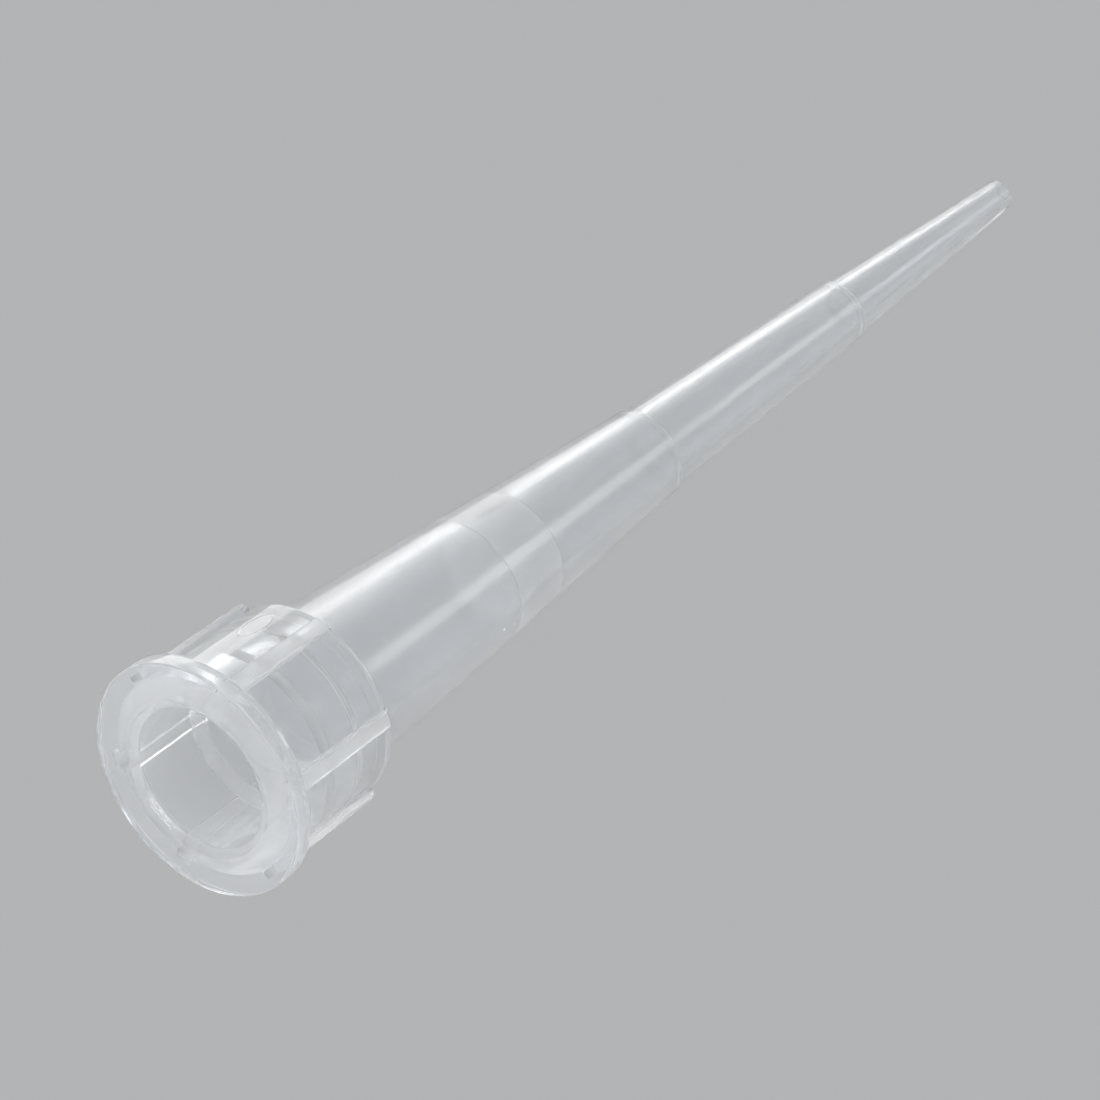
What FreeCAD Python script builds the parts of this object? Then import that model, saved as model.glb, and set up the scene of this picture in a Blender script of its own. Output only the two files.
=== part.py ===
import FreeCAD, Part
import math
import os
from FreeCAD import Vector

# A small pipette tip, moulded in one shot of clear polypropylene. All sizes are in millimetres.
# It stands on its mouth at z = 0 with the orifice up, because on its side it rolls.
# Every radius is measured from the tip's own axis and every height from the mouth's face.

tip_length = 31.8

flange_radius = 3.30
flange_thickness = 0.53
flange_front_round = 0.12
edge_round = 0.06               # the flange's back edge and the orifice's outer edge

collar_height = 4.33            # where the shoulder is that a rack's deck carries
collar_end_radius = 2.70
collar_draft = 1.4              # degrees, shared by the collar and its ribs

rib_count = 6
rib_width = 0.43
rib_proud = 0.24                # how far a rib stands out of the collar
rib_end_round = 0.20
rib_edge_round = 0.05
rib_end_height = 4.25

# the tube: where each taper starts, and its radius at the start and at the end
lower_tube_radii = (2.254, 1.223)
first_step_height = 17.60
middle_tube_radii = (1.158, 0.839)
second_step_height = 25.36
end_tube_radii = (0.781, 0.400)

# the bore, from the mouth to the orifice
lead_in_radius = 2.20
lead_in_depth = 0.13
socket_radius = 2.00            # the straight stretch that guides a nozzle in
socket_end_height = 2.12
throat_radius = 1.86
throat_height = 2.50
ledge_height = 3.55             # the small ledge that the nozzle seals on
ledge_radii = (1.79, 1.67)
ledge_run = 0.08
funnel_heights = (10.86, 12.52) # where the bore narrows quickly and the wall gets thicker
funnel_radii = (1.30, 1.08)
orifice_radius = 0.20


def point(radius, height):
    return Vector(radius, 0, height)


def line(start, end):
    return Part.LineSegment(start, end).toShape()


def corner_round(centre, radius, from_angle, to_angle):
    """An arc in the half plane that is turned about the axis; angles in degrees from outwards."""
    def on_arc(angle):
        turn = math.radians(angle)
        return centre + point(radius * math.cos(turn), radius * math.sin(turn))
    middle_angle = (from_angle + to_angle) / 2
    return Part.Arc(on_arc(from_angle), on_arc(middle_angle), on_arc(to_angle)).toShape()


def join(pieces):
    """One closed outline from points and arcs, with straight lines between them."""
    edges = []
    last = None
    first = None
    for piece in pieces:
        is_arc = isinstance(piece, Part.Edge)
        start = piece.valueAt(piece.FirstParameter) if is_arc else piece
        end = piece.valueAt(piece.LastParameter) if is_arc else piece
        if first is None:
            first = start
        if last is not None:
            edges.append(line(last, start))
        if is_arc:
            edges.append(piece)
        last = end
    edges.append(line(last, first))
    return Part.Wire(edges)


def turned(pieces):
    """The solid that an outline makes when it is turned once about the axis."""
    return Part.Face(join(pieces)).revolve(Vector(0, 0, 0), Vector(0, 0, 1), 360)


def collar_radius(height):
    """The collar is a little wider at the flange, so that it leaves its mould."""
    return collar_end_radius + (collar_height - height) * math.tan(math.radians(collar_draft))


def moulded_outside():
    """Flange, collar and the three tapers of the tube, as one turned solid."""
    flange_front = corner_round(
        point(flange_radius - flange_front_round, flange_front_round), flange_front_round, -90, 0)
    flange_back = corner_round(
        point(flange_radius - edge_round, flange_thickness - edge_round), edge_round, 0, 90)
    orifice_edge = corner_round(
        point(end_tube_radii[1] - edge_round, tip_length - edge_round), edge_round, 0, 90)
    return turned([
        point(0, 0),
        flange_front,
        flange_back,
        point(collar_radius(flange_thickness), flange_thickness),
        point(collar_end_radius, collar_height),
        point(lower_tube_radii[0], collar_height),
        point(lower_tube_radii[1], first_step_height),
        point(middle_tube_radii[0], first_step_height),
        point(middle_tube_radii[1], second_step_height),
        point(end_tube_radii[0], second_step_height),
        orifice_edge,
        point(0, tip_length),
    ])


def core():
    """The space that the mould's core pin leaves: lead-in, socket, sealing ledge, funnel, long taper."""
    return turned([
        point(0, 0),
        point(lead_in_radius, 0),
        point(socket_radius, lead_in_depth),
        point(socket_radius, socket_end_height),
        point(throat_radius, throat_height),
        point(ledge_radii[0], ledge_height),
        point(ledge_radii[1], ledge_height + ledge_run),
        point(funnel_radii[0], funnel_heights[0]),
        point(funnel_radii[1], funnel_heights[1]),
        point(orifice_radius, tip_length),
        point(0, tip_length),
    ])


def rib():
    """One rib, from inside the flange to near the collar's end, following the collar's draft."""
    root_depth = 0.3            # how far it reaches into the collar's wall
    start_height = flange_thickness / 2
    outer_end = collar_radius(rib_end_height) + rib_proud
    outline = join([
        point(collar_radius(start_height) - root_depth, start_height),
        point(collar_radius(start_height) + rib_proud, start_height),
        corner_round(point(outer_end - rib_end_round, rib_end_height - rib_end_round), rib_end_round, 0, 90),
        point(collar_radius(rib_end_height) - root_depth, rib_end_height),
    ])
    blank = Part.Face(outline).extrude(Vector(0, rib_width, 0))
    blank.translate(Vector(0, -rib_width / 2, 0))
    return blank.makeFillet(rib_edge_round, outer_edges(blank))


def outer_edges(blank):
    """The rib's two long outer edges and their run round its free end."""
    least_reach = collar_end_radius + rib_proud / 2
    return [
        edge for edge in blank.Edges
        if min(vertex.X for vertex in edge.Vertexes) > least_reach
        and abs(edge.Vertexes[0].Y - edge.Vertexes[-1].Y) < rib_width / 2
    ]


def ribs():
    """The ribs, evenly spaced round the collar, the first one on +X."""
    first = rib()
    pattern = []
    for number in range(rib_count):
        copy = first.copy()
        copy.rotate(Vector(0, 0, 0), Vector(0, 0, 1), number * 360 / rib_count)
        pattern.append(copy)
    return pattern


tip_body = moulded_outside().multiFuse(ribs()).cut(core()).removeSplitter()

os.makedirs("parts", exist_ok=True)
tip_body.exportStep("parts/tip_body.step")
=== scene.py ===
import math

import bmesh
import bpy
from mathutils import Matrix, Vector


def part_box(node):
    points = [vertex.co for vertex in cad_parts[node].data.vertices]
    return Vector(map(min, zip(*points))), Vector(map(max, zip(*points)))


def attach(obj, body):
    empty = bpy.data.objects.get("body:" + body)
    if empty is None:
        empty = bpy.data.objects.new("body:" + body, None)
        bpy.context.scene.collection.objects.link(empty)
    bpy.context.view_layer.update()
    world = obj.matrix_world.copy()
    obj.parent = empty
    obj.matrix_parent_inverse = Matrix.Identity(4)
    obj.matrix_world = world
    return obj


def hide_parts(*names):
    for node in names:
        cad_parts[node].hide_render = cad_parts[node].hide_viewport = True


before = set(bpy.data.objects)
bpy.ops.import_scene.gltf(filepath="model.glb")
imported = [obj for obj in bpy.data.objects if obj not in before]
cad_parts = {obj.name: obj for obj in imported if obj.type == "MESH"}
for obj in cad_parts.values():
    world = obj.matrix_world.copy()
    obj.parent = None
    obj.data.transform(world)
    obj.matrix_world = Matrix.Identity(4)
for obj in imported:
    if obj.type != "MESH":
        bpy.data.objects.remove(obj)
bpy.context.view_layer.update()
mm = 0.001                                  # sizes below are in millimetres

lowCorner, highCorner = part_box("tip_body")  # the tip stands on its mouth, orifice up
tipLength = (highCorner[2] - lowCorner[2]) / mm
flangeRadius = (highCorner[0] - lowCorner[0]) / 2 / mm

tip = {
    "flangeThickness": 0.53,
    "collarHeight": 4.33,
    "collarEndRadius": 2.70,
    "collarDraft": 1.4,                     # degrees
    "ribs": 6,
    "ribWidth": 0.43,
    "ribProud": 0.24,
    "ribEndHeight": 4.25,
    "ribEndRound": 0.20,
    "ribEdgeRound": 0.05,
    "lowerTube": (2.254, 1.223, 17.60),     # radius at its start and end, and where the tube's step is
    "middleTube": (1.158, 0.839, 25.36),
    "endTube": (0.781, 0.400),
    "leadIn": (2.20, 0.13),                 # the bore, as radius and height, from the mouth up
    "socket": (2.00, 2.12),
    "throat": (1.86, 2.50),
    "ledge": ((1.79, 3.55), (1.67, 3.63)),  # where a nozzle seals
    "funnel": ((1.30, 10.86), (1.08, 12.52)),
    "orificeRadius": 0.20,
    "stepsAcrossRib": 6,
    "stepsBetweenRibs": 32,
    "roundSegments": 4,
    "segmentLength": 0.16,                  # for the funnel's long roundings
    "ribEndSegments": 6,
    "ribEdgeSegments": 3,
    "sharpAngle": 35,                       # degrees
    "level": 0.002,                         # heights this close are the same
    "margin": 0.01,                         # how far past a rib's size its faces are looked for
}


def collarRadius(height):
    slope = math.tan(math.radians(tip["collarDraft"]))
    return tip["collarEndRadius"] + (tip["collarHeight"] - height) * slope


def wallCorners():
    # the wall's outline as (radius, height, rounding): up the outside, down the bore
    back, shoulder = tip["flangeThickness"], tip["collarHeight"]
    lowerStart, lowerEnd, firstStep = tip["lowerTube"]
    middleStart, middleEnd, secondStep = tip["middleTube"]
    endStart, endRadius = tip["endTube"]
    mouthRadius, leadInDepth = tip["leadIn"]
    socketRadius, socketEnd = tip["socket"]
    outside = [
        (mouthRadius, 0, 0.03),
        (flangeRadius, 0, 0.12),
        (flangeRadius, back, 0.06),
        (collarRadius(back) + tip["ribProud"], back, 0),    # where a rib's outer face meets the flange
        (collarRadius(back), back, 0),
        (collarRadius(tip["ribEndHeight"]), tip["ribEndHeight"], 0),
        (tip["collarEndRadius"], shoulder, 0.04),
        (lowerStart, shoulder, 0),
        (lowerEnd, firstStep, 0.03),
        (middleStart, firstStep, 0),
        (middleEnd, secondStep, 0.03),
        (endStart, secondStep, 0),
        (endRadius, tipLength, 0.06),
    ]
    bore = [
        (tip["orificeRadius"], tipLength, 0.02),
        (*tip["funnel"][1], 1.30),
        (*tip["funnel"][0], 1.30),
        (*tip["ledge"][1], 0.03),
        (*tip["ledge"][0], 0.03),
        (*tip["throat"], 0.04),
        (socketRadius, socketEnd, 0.06),
        (socketRadius, leadInDepth, 0.04),
    ]
    return outside + bore


def drawWall(bm):
    corners = wallCorners()
    points = [bm.verts.new((radius * mm, 0, height * mm)) for radius, height, rounding in corners]
    for here, there in zip(points, points[1:] + points[:1]):
        bm.edges.new((here, there))
    for rounding in sorted({corner[2] for corner in corners} - {0}):
        chosen = [point for point, corner in zip(points, corners) if corner[2] == rounding]
        segments = max(tip["roundSegments"], round(rounding / tip["segmentLength"]))
        bmesh.ops.bevel(bm, geom=chosen, offset=rounding * mm, offset_type="WIDTH", affect="VERTICES",
                        segments=segments, profile=0.5, material=-1)


def spinWall(bm):
    # each sixth is a narrow turn across a rib, then a wide one to the next rib
    halfRib = math.asin(tip["ribWidth"] / 2 / tip["collarEndRadius"])
    between = 2 * math.pi / tip["ribs"] - 2 * halfRib
    drawWall(bm)
    bmesh.ops.rotate(bm, verts=bm.verts[:], cent=(0, 0, 0), matrix=Matrix.Rotation(-halfRib, 3, "Z"))
    front = bm.verts[:] + bm.edges[:]
    for _ in range(tip["ribs"]):
        for angle, steps in ((2 * halfRib, tip["stepsAcrossRib"]), (between, tip["stepsBetweenRibs"])):
            turn = bmesh.ops.spin(bm, geom=front, cent=(0, 0, 0), axis=(0, 0, 1), angle=angle, steps=steps)
            front = turn["geom_last"]
    bmesh.ops.remove_doubles(bm, verts=bm.verts[:], dist=tip["level"] / 2 * mm)
    bmesh.ops.recalc_face_normals(bm, faces=bm.faces[:])


def ribPlace(point, number):
    # a point seen from one rib: out along it, across it, up
    return Matrix.Rotation(-number * 2 * math.pi / tip["ribs"], 3, "Z") @ point / mm


def joinFlange(bm, raised, number):
    # the rib's foot and the flange under it are taken out, and their rims are welded
    back, margin = tip["flangeThickness"], tip["margin"]
    halfWidth = tip["ribWidth"] / 2 + margin
    inner, outer = collarRadius(back) - 3 * margin, collarRadius(back) + tip["ribProud"] + margin

    def onFlange(vert):
        return abs(vert.co.z / mm - back) < tip["level"]

    def underRib(face):
        out, across, up = ribPlace(face.calc_center_median(), number)
        return all(onFlange(vert) for vert in face.verts) and abs(across) < halfWidth and inner < out < outer

    bmesh.ops.delete(bm, geom=[face for face in bm.faces if underRib(face)], context="FACES")
    feet = [vert for vert in raised if vert.is_valid and onFlange(vert)]
    rim = [vert for vert in bm.verts if vert not in feet and onFlange(vert)]
    pairs = {min(rim, key=lambda vert: (vert.co - foot.co).length): foot for foot in feet}
    bmesh.ops.weld_verts(bm, targetmap=pairs)


def raiseRib(bm, number):
    margin = tip["margin"]
    halfWidth = tip["ribWidth"] / 2 + margin
    back, end = tip["flangeThickness"], tip["ribEndHeight"]
    inner, outer = tip["collarEndRadius"] - 10 * margin, collarRadius(back) + tip["ribProud"]

    def onCollar(face):
        out, across, up = ribPlace(face.calc_center_median(), number)
        heights = [vert.co.z / mm for vert in face.verts]
        tall = max(heights) - min(heights) > (end - back) / 2
        return tall and inner < out < outer and abs(across) < halfWidth and back - margin < min(heights) < end

    patch = [face for face in bm.faces if onCollar(face)]
    lifted = bmesh.ops.extrude_face_region(bm, geom=patch)["geom"]
    bmesh.ops.delete(bm, geom=patch, context="FACES")
    turnBack = Matrix.Rotation(number * 2 * math.pi / tip["ribs"], 3, "Z")
    raised = [item for item in lifted if isinstance(item, bmesh.types.BMVert)]
    for vert in raised:
        out, across, up = ribPlace(vert.co, number)
        vert.co = turnBack @ Vector((collarRadius(up) + tip["ribProud"], across, up)) * mm
    joinFlange(bm, raised, number)
    raised = [vert for vert in raised if vert.is_valid]
    roundRib(bm, raised, number)


def roundRib(bm, raised, number):
    # first its free end, then the two long edges and their run round that end
    end, margin = tip["ribEndHeight"], tip["margin"]
    atEnd = {vert for vert in raised if abs(vert.co.z / mm - end) < tip["level"]}
    endEdges = [edge for edge in bm.edges if edge.verts[0] in atEnd and edge.verts[1] in atEnd]
    bmesh.ops.bevel(bm, geom=endEdges, offset=tip["ribEndRound"] * mm, offset_type="OFFSET", affect="EDGES",
                    segments=tip["ribEndSegments"], profile=0.5, material=-1)
    bm.normal_update()
    sideways = Matrix.Rotation(number * 2 * math.pi / tip["ribs"], 3, "Z") @ Vector((0, 1, 0))
    halfWidth = tip["ribWidth"] / 2
    leastOut = tip["collarEndRadius"] + tip["ribProud"] / 4
    outwards, sidewards = 0.5, 0.9          # how little and how much two such faces look sideways

    def alongRib(edge):
        if len(edge.link_faces) != 2:
            return False
        turned = sorted(abs(face.normal.dot(sideways)) for face in edge.link_faces)
        places = [ribPlace(vert.co, number) for vert in edge.verts]
        onSide = all(abs(abs(across) - halfWidth) < margin and out > leastOut for out, across, up in places)
        return onSide and turned[0] < outwards and turned[1] > sidewards and places[0][2] < end + margin

    outerEdges = [edge for edge in bm.edges if alongRib(edge)]
    bmesh.ops.bevel(bm, geom=outerEdges, offset=tip["ribEdgeRound"] * mm, offset_type="OFFSET", affect="EDGES",
                    segments=tip["ribEdgeSegments"], profile=0.5, material=-1, clamp_overlap=True)


def sortFaces(bm):
    # the operators leave the faces in another order each run
    bm.verts.index_update()
    count = len(bm.verts)

    def faceOrder(face):
        first, second, third = sorted(vert.index for vert in face.verts)[:3]
        return (first * count + second) * count + third

    bm.faces.sort(key=faceOrder)


def finishMesh(bm, name):
    bmesh.ops.remove_doubles(bm, verts=bm.verts[:], dist=tip["level"] / 4 * mm)
    bmesh.ops.recalc_face_normals(bm, faces=bm.faces[:])
    sortFaces(bm)
    for face in bm.faces:
        face.smooth = True
    for edge in bm.edges:
        edge.smooth = edge.calc_face_angle(0) < math.radians(tip["sharpAngle"])
    mesh = bpy.data.meshes.new(name)
    bm.to_mesh(mesh)
    print(name, "faces", len(bm.faces), "open edges", sum(not edge.is_manifold for edge in bm.edges),
          "volume", round(bm.calc_volume() / mm ** 3, 2))
    bm.free()
    piece = bpy.data.objects.new(name, mesh)
    bpy.context.scene.collection.objects.link(piece)
    return piece


def makeTip():
    bm = bmesh.new()
    spinWall(bm)
    for number in range(tip["ribs"]):
        raiseRib(bm, number)
    return finishMesh(bm, "moulded_tip")


class Wire:
    # one socket of a shader, so that maths on it reads as an expression
    def __init__(self, tree, socket):
        self.tree = tree
        self.socket = socket

    def add(self, kind, settings=None, sockets=None, output=0):
        return addNode(self.tree, kind, settings, sockets, output)

    def calc(self, operation, first, second):
        return self.add("ShaderNodeMath", {"operation": operation}, {0: first, 1: second})

    def __add__(self, other):
        return self.calc("ADD", self, other)

    def __radd__(self, other):
        return self.calc("ADD", other, self)

    def __sub__(self, other):
        return self.calc("SUBTRACT", self, other)

    def __rsub__(self, other):
        return self.calc("SUBTRACT", other, self)

    def __mul__(self, other):
        return self.calc("MULTIPLY", self, other)

    def __rmul__(self, other):
        return self.calc("MULTIPLY", other, self)

    def __pow__(self, other):
        return self.calc("POWER", self, other)

    def ramp(self, start, end):
        # 0 below start, 1 past end, smooth between; start may be the larger
        settings = {"interpolation_type": "SMOOTHSTEP"}
        return self.add("ShaderNodeMapRange", settings, {"Value": self, "From Min": start, "From Max": end})


def addNode(tree, kind, settings=None, sockets=None, output=0):
    node = tree.nodes.new(kind)
    for name, value in (settings or {}).items():
        setattr(node, name, value)
    for name, value in (sockets or {}).items():
        if isinstance(value, Wire):
            tree.links.new(value.socket, node.inputs[name])
        else:
            node.inputs[name].default_value = value
    return Wire(tree, node.outputs[output]) if node.outputs else None


plastic = {
    "tint": (0.925, 0.945, 0.965, 1),
    "milk": (0.985, 0.99, 0.995, 1),
    "ior": 1.49,
    "transmission": 0.96,
    "scatter": 0.42,                        # how much the wall scatters, per millimetre
    "roughness": 0.08,
    "milkyRoughness": 0.1,                  # these add to it where they apply
    "tubeSatin": 0.12,
    "tubeSatinStart": (-0.1, 0.2),          # from the shoulder's height
    "bandSatin": 0.20,
    "rippleSatin": 0.02,
    "rippleScale": 900,
    "grainScale": 9000,
    "grain": 4.0,                           # how high the lead-in's grain is, in ripples
    "markRim": 1.5,                         # how high the oval mark's rim is, in ripples
    "tubeHaze": 0.05,                       # how milky each surface is
    "shoulderHaze": 0.50,
    "stepHaze": 0.45,
    "dustHaze": 0.7,
    "markHaze": 0.16,
    "shoulderSoftness": 0.02,
    "stepSoftness": 0.05,
}

# where a finish lies: lowest and highest height, how softly it ends, the radii where it starts and is full
zones = {
    "leadIn": (0, tip["leadIn"][1] - 0.01, 0.08, tip["leadIn"][0] + 0.12, tip["leadIn"][0]),
    "ribs": (tip["flangeThickness"] + 0.10, tip["collarHeight"] - 0.04, 0.08,
             tip["collarEndRadius"] + 0.10, tip["collarEndRadius"] + 0.18),
    "throat": (tip["socket"][1], tip["throat"][1], 0.08, tip["socket"][0] + 0.12, tip["socket"][0] + 0.06),
    "ledge": (tip["ledge"][0][1] - 0.03, tip["ledge"][1][1] + 0.03, 0.10,
              tip["ledge"][0][0] + 0.19, tip["ledge"][0][0] + 0.11),
    "band": (tip["funnel"][0][1], tip["funnel"][1][1], 0.15,
             tip["funnel"][0][0] + 0.22, tip["funnel"][0][0] + 0.14),
}
zoneHaze = {"ribs": 0.18, "throat": 0.10, "ledge": 0.55, "band": 0.30}

# dust on the tube: degrees round from +X, height, radius
specks = [
    (261.7, 9.82, 0.050),
    (266.4, 10.31, 0.032),
    (273.7, 10.02, 0.026),
    (221.5, 9.89, 0.022),
    (226.6, 10.11, 0.020),
    (231.2, 10.25, 0.024),
]

# the faint oval mark on the collar, between two ribs
ovalMark = {
    "around": 151,
    "height": 3.20,
    "width": 0.60,
    "tall": 1.20,
    "rim": 0.05,
}


def between(value, low, high, soft):
    return value.ramp(low - soft, low) * value.ramp(high + soft, high)


def ring(value, middle, soft):
    return between(value, middle, middle, soft)


def speckMask(place, around, height, size):
    # how much a point lies in one speck on the outside of the lower tube
    startRadius, endRadius, stepHeight = tip["lowerTube"]
    along = (height - tip["collarHeight"]) / (stepHeight - tip["collarHeight"])
    radius = startRadius + (endRadius - startRadius) * along
    centre = Matrix.Rotation(math.radians(around), 3, "Z") @ Vector((radius, 0, height)) * mm
    away = place.add("ShaderNodeVectorMath", {"operation": "DISTANCE"}, {0: place, 1: centre}, "Value")
    return away.ramp(size * mm, size * 0.6 * mm)    # its middle is the whitest


def fromOvalMark(place):
    # how far a point lies from the mark's middle, in half widths
    radius = collarRadius(ovalMark["height"])
    centre = Matrix.Rotation(math.radians(ovalMark["around"]), 3, "Z") @ Vector((radius, 0, ovalMark["height"])) * mm
    squashed = Vector((1, 1, ovalMark["width"] / ovalMark["tall"]))
    flat = place.add("ShaderNodeVectorMath", {"operation": "MULTIPLY"}, {0: place, 1: squashed})
    away = place.add("ShaderNodeVectorMath", {"operation": "DISTANCE"}, {0: flat, 1: centre * squashed}, "Value")
    return away * (2 / ovalMark["width"] / mm)


def clearPlastic():
    material = bpy.data.materials.new("clear polypropylene")
    material.use_nodes = True
    tree = material.node_tree
    tree.nodes.clear()
    place = addNode(tree, "ShaderNodeTexCoord", output="Object")
    x = place.add("ShaderNodeSeparateXYZ", sockets={0: place}, output=0)
    y = place.add("ShaderNodeSeparateXYZ", sockets={0: place}, output=1)
    z = place.add("ShaderNodeSeparateXYZ", sockets={0: place}, output=2)
    height = z * (1 / mm)
    radius = (x * x + y * y) ** 0.5 * (1 / mm)

    # where each finish is, from 0 to 1
    masks = {}
    for name, (lowest, highest, soft, start, full) in zones.items():
        masks[name] = between(height, lowest, highest, soft) * radius.ramp(start, full)
    leadIn = masks["leadIn"]
    satinStart, satinFull = (tip["collarHeight"] + above for above in plastic["tubeSatinStart"])
    tube = height.ramp(satinStart, satinFull)
    shoulder = ring(height, tip["collarHeight"], plastic["shoulderSoftness"])
    steps = (ring(height, tip["lowerTube"][2], plastic["stepSoftness"])
             + ring(height, tip["middleTube"][2], plastic["stepSoftness"]))
    dust = speckMask(place, *specks[0])
    for speck in specks[1:]:
        dust = dust + speckMask(place, *speck)
    fromMark = fromOvalMark(place)
    markEdge = 1 - 2 * ovalMark["rim"]
    mark = fromMark.ramp(1, markEdge)
    markRim = between(fromMark, markEdge, 1, ovalMark["rim"])

    ripple = place.add("ShaderNodeTexNoise", sockets={
        "Vector": place, "Scale": plastic["rippleScale"], "Detail": 3})
    grain = place.add("ShaderNodeTexNoise", sockets={
        "Vector": place, "Scale": plastic["grainScale"], "Detail": 2})
    rough = (plastic["roughness"] + ripple * plastic["rippleSatin"] + tube * plastic["tubeSatin"]
             + (masks["band"] + mark + leadIn * grain) * plastic["bandSatin"])
    bump = place.add("ShaderNodeBump", sockets={
        "Height": ripple + leadIn * grain * plastic["grain"] + (markRim + mark * grain) * plastic["markRim"],
        "Strength": 0.25, "Distance": 0.02 * mm})
    haze = (tube * plastic["tubeHaze"] + shoulder * plastic["shoulderHaze"] + steps * plastic["stepHaze"]
            + dust * plastic["dustHaze"] + (mark + markRim) * plastic["markHaze"])
    for name, amount in zoneHaze.items():
        haze = haze + masks[name] * amount

    clear = place.add("ShaderNodeBsdfPrincipled", sockets={
        "Base Color": plastic["tint"], "Roughness": rough, "IOR": plastic["ior"],
        "Transmission Weight": plastic["transmission"], "Normal": bump})
    milky = place.add("ShaderNodeBsdfPrincipled", sockets={
        "Base Color": plastic["milk"], "Roughness": rough + plastic["milkyRoughness"], "IOR": plastic["ior"],
        "Subsurface Weight": 1.0, "Subsurface Radius": (1, 1, 1), "Subsurface Scale": 0.5 * mm, "Normal": bump})
    finish = place.add("ShaderNodeMixShader", sockets={0: haze, 1: clear, 2: milky})
    milk = place.add("ShaderNodeVolumeScatter", sockets={
        "Color": plastic["milk"], "Density": plastic["scatter"] / mm, "Anisotropy": 0.1})
    place.add("ShaderNodeOutputMaterial", sockets={"Surface": finish, "Volume": milk})
    return material


studio = {
    "pale": (0.45, 0.455, 0.46, 1),         # the backdrop, and the floor in reflections and through plastic
    "floor": (0.62, 0.625, 0.63, 1),
    "floorGap": 0.02,
    "floorSize": 1500,
}


def makeFloor():
    bm = bmesh.new()
    bmesh.ops.create_grid(bm, x_segments=1, y_segments=1, size=studio["floorSize"] / 2 * mm)
    bmesh.ops.translate(bm, verts=bm.verts[:], vec=(0, 0, lowCorner[2] - studio["floorGap"] * mm))
    mesh = bpy.data.meshes.new("floor")
    bm.to_mesh(mesh)
    bm.free()
    floor = bpy.data.objects.new("floor", mesh)
    bpy.context.scene.collection.objects.link(floor)
    floor.data.materials.append(oneWayFloor())


def oneWayFloor():
    # matt from above; clear from below, for shadows, and for light that the plastic has scattered
    material = bpy.data.materials.new("pale floor")
    material.use_nodes = True
    tree = material.node_tree
    tree.nodes.clear()
    fromBelow = addNode(tree, "ShaderNodeNewGeometry", output="Backfacing")
    isCamera = addNode(tree, "ShaderNodeLightPath", output="Is Camera Ray")
    isShadow = addNode(tree, "ShaderNodeLightPath", output="Is Shadow Ray")
    bounces = addNode(tree, "ShaderNodeLightPath", output="Ray Depth")
    mirrored = addNode(tree, "ShaderNodeLightPath", output="Glossy Depth")
    refracted = addNode(tree, "ShaderNodeLightPath", output="Transmission Depth")
    scattered = bounces - mirrored - refracted

    clear = addNode(tree, "ShaderNodeBsdfTransparent")
    matt = addNode(tree, "ShaderNodeBsdfDiffuse", sockets={"Color": studio["floor"]})
    plain = addNode(tree, "ShaderNodeEmission", sockets={"Color": studio["pale"], "Strength": 1.0})
    seen = matt.add("ShaderNodeMixShader", sockets={0: isCamera, 1: plain, 2: matt})
    finish = matt.add("ShaderNodeMixShader", sockets={0: fromBelow + isShadow + scattered, 1: seen, 2: clear})
    finish.add("ShaderNodeOutputMaterial", sockets={"Surface": finish})
    return material


def makeWorld():
    world = bpy.data.worlds.new("backdrop")
    world.use_nodes = True
    bpy.context.scene.world = world
    tree = world.node_tree
    tree.nodes.clear()
    glow = addNode(tree, "ShaderNodeBackground", sockets={"Color": studio["pale"], "Strength": 1.0})
    glow.add("ShaderNodeOutputWorld", sockets={"Surface": glow})


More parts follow.
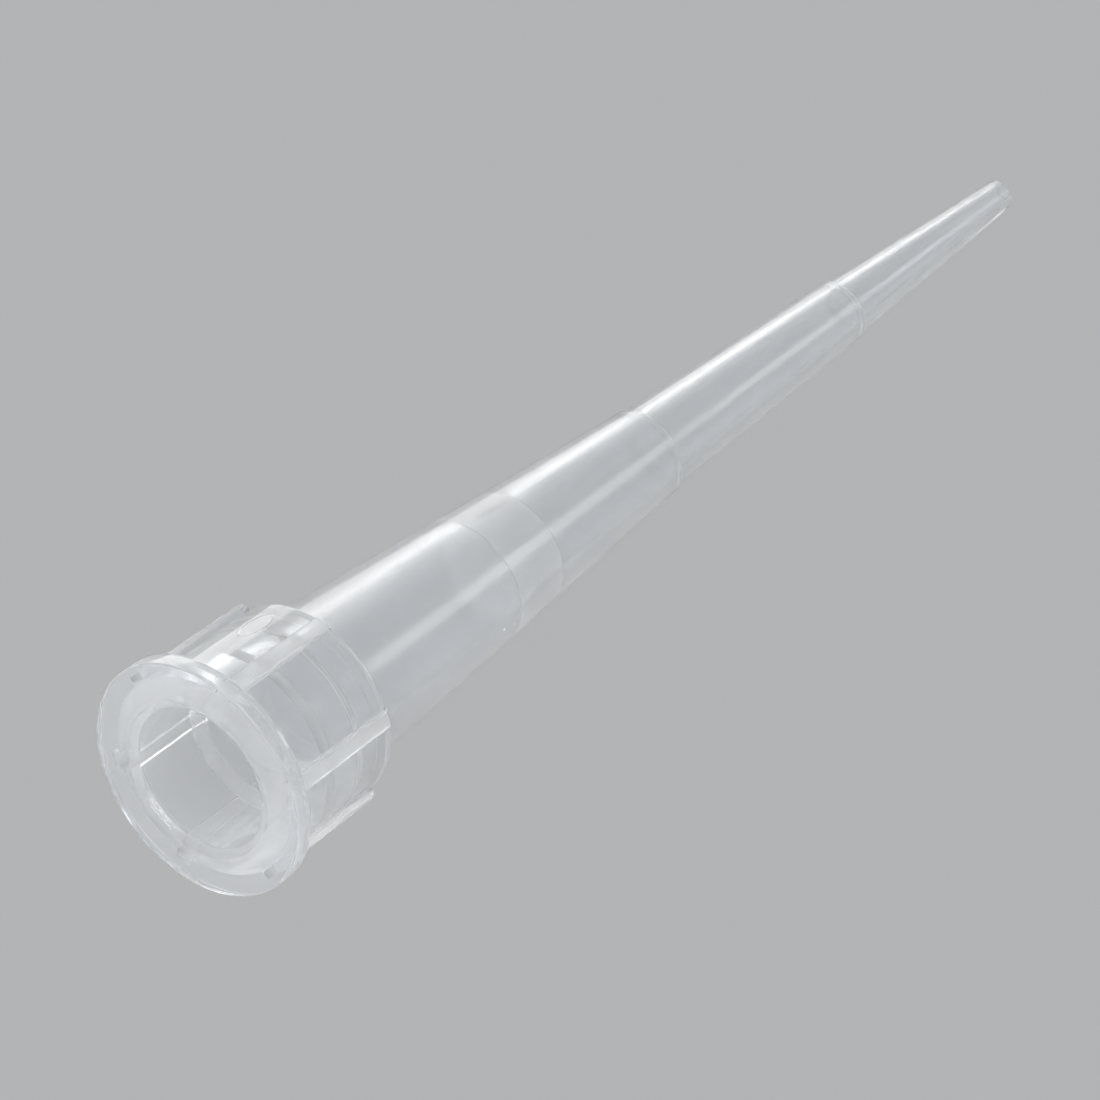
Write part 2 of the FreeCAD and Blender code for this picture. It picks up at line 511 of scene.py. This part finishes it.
# where each lamp hangs round the tip: degrees round from +X, degrees up, distance, width, height, watts
lamps = {
    "tall softbox": (93, 40, 320, 150, 190, 0.15),
    "wide softbox": (124, 40, 430, 300, 260, 0.15),
    "narrow softbox": (223, 51, 349, 80, 110, 0.10),
    "top light": (150, 80, 420, 300, 300, 0.30),
    "low left light": (140, -35, 400, 300, 300, 1.4),
    "low right light": (290, -35, 400, 300, 300, 1.8),
    "under light": (300, -75, 400, 300, 300, 1.0),
}


def direction(around, up):
    flat = math.cos(math.radians(up))
    return Vector((flat * math.cos(math.radians(around)), flat * math.sin(math.radians(around)),
                   math.sin(math.radians(up))))


def makeLamps(middle):
    for name, (around, up, distance, width, tall, watts) in lamps.items():
        data = bpy.data.lights.new(name, "AREA")
        data.shape = "RECTANGLE"
        data.size = width * mm
        data.size_y = tall * mm
        data.energy = watts
        lamp = bpy.data.objects.new(name, data)
        lamp.location = middle + direction(around, up) * distance * mm
        lamp.rotation_euler = (middle - lamp.location).to_track_quat("-Z", "Y").to_euler()
        bpy.context.scene.collection.objects.link(lamp)


view = {
    "around": 207.25,                       # degrees round from +X, and below the mouth's face
    "up": -38.05,
    "roll": 53.83,
    "distance": 1003.7,
    "aim": (0.251, -0.493, 13.317),
    "lens": 1309.1,
    "sensor": 36,
    "clip": (50, 5000),
    "lightBounces": 16,                     # light crosses the wall many times before it leaves
    "volumeBounces": 8,
}


def makeCamera():
    data = bpy.data.cameras.new("camera")
    data.lens = view["lens"]
    data.sensor_width = view["sensor"]
    data.clip_start = view["clip"][0] * mm
    data.clip_end = view["clip"][1] * mm
    camera = bpy.data.objects.new("camera", data)
    towards = direction(view["around"], view["up"])
    camera.location = (Vector(view["aim"]) + towards * view["distance"]) * mm
    facing = (-towards).to_track_quat("-Z", "Y").to_matrix()
    camera.rotation_euler = (facing @ Matrix.Rotation(math.radians(view["roll"]), 3, "Z")).to_euler()
    bpy.context.scene.collection.objects.link(camera)
    bpy.context.scene.camera = camera


makeCamera()
tipPiece = makeTip()
tipPiece.data.materials.append(clearPlastic())
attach(tipPiece, "root")
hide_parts("tip_body")
print("tip: done")

makeFloor()
makeWorld()
makeLamps(Vector((0, 0, tipLength / 2 * mm)))
bpy.context.scene.view_settings.view_transform = "Standard"
bpy.context.scene.cycles.max_bounces = view["lightBounces"]
bpy.context.scene.cycles.transmission_bounces = view["lightBounces"]
bpy.context.scene.cycles.volume_bounces = view["volumeBounces"]
print("studio: done")
